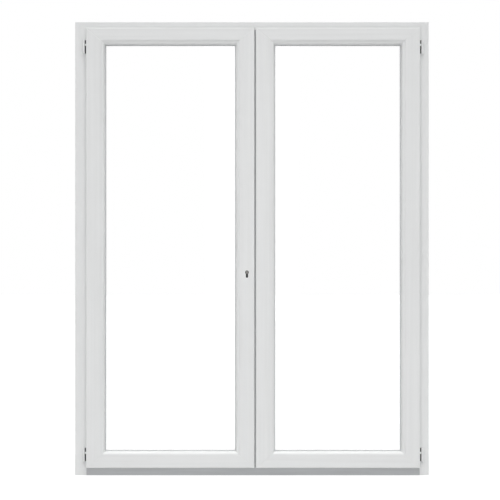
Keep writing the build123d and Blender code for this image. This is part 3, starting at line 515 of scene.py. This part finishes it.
class FRENCHDOORS_OT_glazing_gaskets(bpy.types.Operator):
    """Lays a lipped gasket on both sides of each glass unit"""

    bl_idname = "french_doors.glazing_gaskets"
    bl_label = "Glazing gaskets"

    def execute(self, context):
        sizes = context.scene.french_door_sizes
        for side in SIDES:
            node = f"{side}_glazing_gaskets"
            low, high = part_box(node)
            room_glass, yard_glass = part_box(f"{side}_inner_pane")[0].y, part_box(f"{side}_outer_pane")[1].y
            bm = bmesh.new()
            for width, ys, face in ((sizes.gasket_width, (low.y, room_glass), low.y),
                                    (sizes.yard_gasket_width, (yard_glass, high.y), high.y)):
                add_ring(bm, (low.x, high.x), (low.z, high.z), width, ys, face, sizes.lip_round, outer=False)
            finish_piece(bm, f"{side}_gasket_lips", f"{side}_leaf", "seal", [node])
        return {"FINISHED"}


class FRENCHDOORS_OT_draught_seals(bpy.types.Operator):
    """Lays bulb seals behind the leaves' lips, on the frame's flange and between the leaves"""

    bl_idname = "french_doors.draught_seals"
    bl_label = "Draught seals"

    def execute(self, context):
        sizes = context.scene.french_door_sizes
        width = sizes.seal_width
        for side, out in (("left", 1), ("right", -1)):
            node = f"{side}_leaf_seal"
            low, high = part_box(node)
            meet = high.x if out > 0 else low.x
            # the ring runs on past the side where the leaves meet, and is cut off there
            xs = (low.x, high.x + 2 * width) if out > 0 else (low.x - 2 * width, high.x)
            bm = bmesh.new()
            add_ring(bm, xs, (low.z, high.z), width, (low.y, high.y), high.y, sizes.bulb_round)
            cut_open(bm, (meet, 0, 0), (out, 0, 0))
            finish_piece(bm, f"{side}_lip_seal_bulb", f"{side}_leaf", "seal", [node])

        # this ring runs on below the seal's foot, and is cut off there
        low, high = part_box("frame_seal")
        bm = bmesh.new()
        add_ring(bm, (low.x, high.x), (low.z - 2 * width, high.z), width, (low.y, high.y), low.y,
                 sizes.bulb_round)
        cut_open(bm, (0, 0, low.z), (0, 0, -1))
        finish_piece(bm, "flange_seal_bulb", "frame", "seal", ["frame_seal"])

        # the centre seal's tails close the gap between the leaves down to the threshold and up to the keep
        low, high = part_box("centre_seal")
        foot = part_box("threshold_inner")[1].z + sizes.tail_gap
        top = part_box("head_keep")[0].z - sizes.tail_gap
        bm = bmesh.new()
        face = flat_face(bm, [(low.x, low.y, foot), (high.x, low.y, foot), (high.x, high.y, foot),
                              (low.x, high.y, foot)])
        push_out(bm, [face], (0, 0, top - foot))
        bulb = [e for e in bm.edges if all(v.co.x < low.x + LEVEL_DISTANCE for v in e.verts)
                and abs(e.verts[0].co.z - e.verts[1].co.z) > LEVEL_DISTANCE]
        round_edges(bm, bulb, sizes.centre_round, BULB_FACES)
        finish_piece(bm, "centre_seal_bulb", "right_leaf", "seal", ["centre_seal"])
        return {"FINISHED"}


def add_screw(bm, place, facing, sizes):
    """A countersunk screw head with a cross recess, facing away from its plate."""
    radius = sizes.screw_head
    old = set(bm.verts)
    bmesh.ops.create_grid(bm, x_segments=SCREW_CELLS, y_segments=SCREW_CELLS, size=radius)
    new = [v for v in bm.verts if v not in old]
    faces = {f for v in new for f in v.link_faces}
    step = 2 * radius / SCREW_CELLS
    cross = [f for f in faces if min(abs(c) for c in f.calc_center_median()[:2]) < step / 2
             and max(abs(c) for c in f.calc_center_median()[:2]) < CROSS_REACH * step]
    rim = [e for e in {e for f in faces for e in f.edges} if e.is_boundary]
    # the square grid's rim goes onto a circle, a little lower than the crown
    for vert in {v for e in rim for v in e.verts}:
        flat = Vector((vert.co.x, vert.co.y, 0)).normalized() * radius
        vert.co = flat - Vector((0, 0, sizes.screw_crown * RIM_DEPTH))
    deep = corners(bmesh.ops.extrude_face_region(bm, geom=cross))
    bmesh.ops.delete(bm, geom=[f for f in cross if f.is_valid], context="FACES_ONLY")
    bmesh.ops.translate(bm, verts=deep, vec=(0, 0, -radius * CROSS_DEPTH))
    skirt = corners(bmesh.ops.extrude_edge_only(bm, edges=rim))
    bmesh.ops.translate(bm, verts=skirt, vec=(0, 0, -radius * SKIRT_DEPTH))
    made = [v for v in bm.verts if v not in old]
    turn = Vector((0, 0, 1)).rotation_difference(Vector(facing)).to_matrix().to_4x4()
    turn.translation = Vector(place) + Vector(facing) * sizes.screw_crown
    bmesh.ops.transform(bm, matrix=turn, verts=made)


class FRENCHDOORS_OT_screws(bpy.types.Operator):
    """Puts the screws in the lock's plate, the strike plate and the keeps"""

    bl_idname = "french_doors.screws"
    bl_label = "Screws"

    def execute(self, context):
        sizes = context.scene.french_door_sizes
        low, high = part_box("lock_faceplate")
        mid_y = (low.y + high.y) / 2
        bolt_low, bolt_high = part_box("deadbolt")
        inset = sizes.plate_inset
        bm = bmesh.new()
        for i in range(sizes.plate_screws):
            z = low.z + inset + (high.z - low.z - 2 * inset) * i / (sizes.plate_screws - 1)
            if not bolt_low.z - inset < z < bolt_high.z + inset:
                add_screw(bm, (high.x, mid_y, z), (1, 0, 0), sizes)
        # one more holds the cylinder, through the plate at the height of the cylinder's foot
        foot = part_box("lock_cylinder")[0].z + 2 * sizes.screw_head
        add_screw(bm, (high.x, mid_y, foot), (1, 0, 0), sizes)
        finish_piece(bm, "lock_plate_screws", "left_leaf", "steel")

        low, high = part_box("strike_plate")
        bm = bmesh.new()
        for z in (low.z + inset, high.z - inset):
            add_screw(bm, (low.x, mid_y, z), (-1, 0, 0), sizes)
        finish_piece(bm, "strike_screws", "right_leaf", "steel")

        bm = bmesh.new()
        inset = sizes.keep_inset
        for node, facing in (("head_keep", -1), ("sill_keep", 1)):
            low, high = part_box(node)
            for x in (low.x + inset, high.x - inset):
                add_screw(bm, (x, mid_y, high.z if facing > 0 else low.z), (0, 0, facing), sizes)
        finish_piece(bm, "keep_screws", "frame", "steel")
        return {"FINISHED"}


class FRENCHDOORS_OT_hinge_packers(bpy.types.Operator):
    """Puts a strip of black nylon on the jamb behind each hinge, as painted shade in the gap beside the
    barrel
    """

    bl_idname = "french_doors.hinge_packers"
    bl_label = "Hinge packers"

    def execute(self, context):
        sizes = context.scene.french_door_sizes
        for side, inward in (("left", 1), ("right", -1)):
            face_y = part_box(f"frame_jamb_{side}")[0].y
            low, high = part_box(f"{side}_frame_knuckles")
            arm_low, arm_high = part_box(f"{side}_leaf_knuckles")
            barrel_x, leaf_x = (high.x, arm_high.x) if inward > 0 else (low.x, arm_low.x)
            leaf_x -= inward * sizes.packer_gap
            bm = bmesh.new()
            for foot in (low.z, arm_high.z - sizes.hinge_height):
                top = foot + sizes.hinge_height
                face = flat_face(bm, [(barrel_x, face_y, foot), (leaf_x, face_y, foot),
                                      (leaf_x, face_y, top), (barrel_x, face_y, top)])
                far = push_out(bm, [face], (0, -sizes.packer_thickness, 0))
                round_rim(bm, far, sizes.cap_round)
            # the black nylon here is painted shade, filling the gap beside the barrel with the dark of its
            # shadow
            finish_piece(bm, f"{side}_hinge_packers", "frame", "shade_packer")
        return {"FINISHED"}


class FRENCHDOORS_OT_drip_caps(bpy.types.Operator):
    """Closes the ends of the drip rails with moulded caps"""

    bl_idname = "french_doors.drip_caps"
    bl_label = "Drip rail caps"

    def execute(self, context):
        sizes = context.scene.french_door_sizes
        for side in SIDES:
            low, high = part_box(f"{side}_drip_rail")
            outline = ((low.y, low.z), (low.y, high.z), (low.y + sizes.cap_top, high.z),
                       (high.y, low.z + sizes.cap_lip), (high.y, low.z))
            bm = bmesh.new()
            for x, out in ((low.x, -1), (high.x, 1)):
                face = flat_face(bm, [(x, y, z) for y, z in outline])
                far = push_out(bm, [face], (out * sizes.cap_thickness, 0, 0))
                round_rim(bm, far, sizes.cap_round)
            finish_piece(bm, f"{side}_drip_caps", f"{side}_leaf", "pvc_level")
        return {"FINISHED"}


def background_rays(tree):
    """1 where the background is seen, straight, in a reflection or through glass, and 0 elsewhere."""
    rays = add(tree, "ShaderNodeLightPath")
    seen = rays.outputs["Is Camera Ray"]
    for kind in ("Is Glossy Ray", "Is Transmission Ray"):
        both = add(tree, "ShaderNodeMath", operation="MAXIMUM")
        tree.links.new(seen, both.inputs[0])
        tree.links.new(rays.outputs[kind], both.inputs[1])
        seen = both.outputs["Value"]
    return seen


class FRENCHDOORS_OT_stage(bpy.types.Operator):
    """Sets up the floor, the light and the camera"""

    bl_idname = "french_doors.stage"
    bl_label = "Stage"

    def execute(self, context):
        scene = context.scene
        settings = scene.french_door_stage
        scene.view_settings.view_transform = "Standard"
        low, high = cad_box

        # pale floor that reads white and keeps a faint shadow
        bm = bmesh.new()
        bmesh.ops.create_grid(bm, x_segments=FLOOR_CELLS, y_segments=FLOOR_CELLS, size=FLOOR_HALF_WIDTH)
        mesh = bpy.data.meshes.new("floor")
        bm.to_mesh(mesh)
        bm.free()
        floor = bpy.data.objects.new("floor", mesh)
        scene.collection.objects.link(floor)
        material = bpy.data.materials.new("white_floor")
        material.use_nodes = True
        tree = material.node_tree
        tree.nodes.clear()
        paint = add(tree, "ShaderNodeBsdfDiffuse", {"Color": linear(settings.floor)})
        glow = add(tree, "ShaderNodeEmission", {"Color": WHITE})
        level = add(tree, "ShaderNodeMath", operation="MULTIPLY")
        tree.links.new(background_rays(tree), level.inputs[0])
        level.inputs[1].default_value = settings.floor_glow
        tree.links.new(level.outputs["Value"], glow.inputs["Strength"])
        both = add(tree, "ShaderNodeAddShader")
        tree.links.new(paint.outputs["BSDF"], both.inputs[0])
        tree.links.new(glow.outputs["Emission"], both.inputs[1])
        add(tree, "ShaderNodeOutputMaterial", {"Surface": both.outputs["Shader"]})
        mesh.materials.append(material)

        # surround that is white where it is seen and dimmer as light
        world = bpy.data.worlds.new("white_surround")
        scene.world = world
        world.use_nodes = True
        tree = world.node_tree
        tree.nodes.clear()
        seen = background_rays(tree)
        level = add(tree, "ShaderNodeMapRange", {"Value": seen, "To Min": settings.ambient, "To Max": 1})
        sky = add(tree, "ShaderNodeBackground", {"Color": WHITE, "Strength": level.outputs["Result"]})
        add(tree, "ShaderNodeOutputWorld", {"Surface": sky.outputs["Background"]})

        def light(name, kind, place, target, **values):
            """A lamp at a place, aimed at a target."""
            lamp = bpy.data.lights.new(name, kind)
            for key, value in values.items():
                setattr(lamp, key, value)
            holder = bpy.data.objects.new(name, lamp)
            holder.location = place
            aim = Vector(target) - Vector(place)
            holder.rotation_euler = aim.to_track_quat("-Z", "Y").to_euler()
            scene.collection.objects.link(holder)

        # a wide light on either side, and a soft lamp that lifts the leaves where they meet
        middle = (low + high) / 2
        for name, side, strength, height in (
                ("room_sun", -1, settings.room_sun, settings.room_sun_height),
                ("yard_sun", 1, settings.yard_sun, settings.yard_sun_height)):
            away = Vector((0, side * math.cos(height), math.sin(height)))
            light(name, "SUN", middle + LAMP_DISTANCE * away, middle, energy=strength,
                  angle=settings.sun_spread)
        light("room_lamp", "AREA", ROOM_LAMP_PLACE, middle, shape="RECTANGLE", size=ROOM_LAMP_SIZE[0],
              size_y=ROOM_LAMP_SIZE[1], energy=settings.room_lamp)

        # level camera before the doors, as far off as the view's width asks
        camera = bpy.data.cameras.new("camera")
        camera.lens = settings.lens
        camera.sensor_width = SENSOR_WIDTH
        camera.clip_end = SIGHT_LIMIT
        eye = bpy.data.objects.new("camera", camera)
        distance = settings.view_width * settings.lens / camera.sensor_width
        face_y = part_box("frame_head")[0].y
        eye.location = (settings.eye_x, face_y - distance, settings.eye_height)
        eye.rotation_euler = (math.radians(90), 0, 0)
        scene.collection.objects.link(eye)
        scene.camera = eye
        return {"FINISHED"}


class FRENCHDOORS_PT_panel(bpy.types.Panel):
    """Lists the pieces that can be added"""

    bl_label = "French doors"
    bl_idname = "FRENCHDOORS_PT_panel"
    bl_space_type = "VIEW_3D"
    bl_region_type = "UI"
    bl_category = "French doors"

    def draw(self, context):
        for operator in OPERATORS:
            self.layout.operator(operator.bl_idname)
        for group in ("french_door_colours", "french_door_sizes", "french_door_stage"):
            settings = getattr(context.scene, group)
            box = self.layout.box()
            for name in settings.__annotations__:
                box.prop(settings, name)


OPERATORS = (FRENCHDOORS_OT_finishes, FRENCHDOORS_OT_glazing_gaskets, FRENCHDOORS_OT_draught_seals,
             FRENCHDOORS_OT_screws, FRENCHDOORS_OT_hinge_packers, FRENCHDOORS_OT_drip_caps,
             FRENCHDOORS_OT_stage)
GROUPS = {"french_door_colours": FrenchDoorColours, "french_door_sizes": FrenchDoorSizes,
          "french_door_stage": FrenchDoorStage}


def register():
    for group in GROUPS.values():
        bpy.utils.register_class(group)
    for name, group in GROUPS.items():
        setattr(bpy.types.Scene, name, PointerProperty(type=group))
    for operator in OPERATORS:
        bpy.utils.register_class(operator)
    bpy.utils.register_class(FRENCHDOORS_PT_panel)


def unregister():
    bpy.utils.unregister_class(FRENCHDOORS_PT_panel)
    for operator in reversed(OPERATORS):
        bpy.utils.unregister_class(operator)
    for name in GROUPS:
        delattr(bpy.types.Scene, name)
    for group in GROUPS.values():
        bpy.utils.unregister_class(group)


def main():
    register()
    bpy.ops.french_doors.finishes()
    bpy.ops.french_doors.glazing_gaskets()
    bpy.ops.french_doors.draught_seals()
    bpy.ops.french_doors.screws()
    bpy.ops.french_doors.hinge_packers()
    bpy.ops.french_doors.drip_caps()
    bpy.ops.french_doors.stage()


if __name__ == "__main__":
    main()
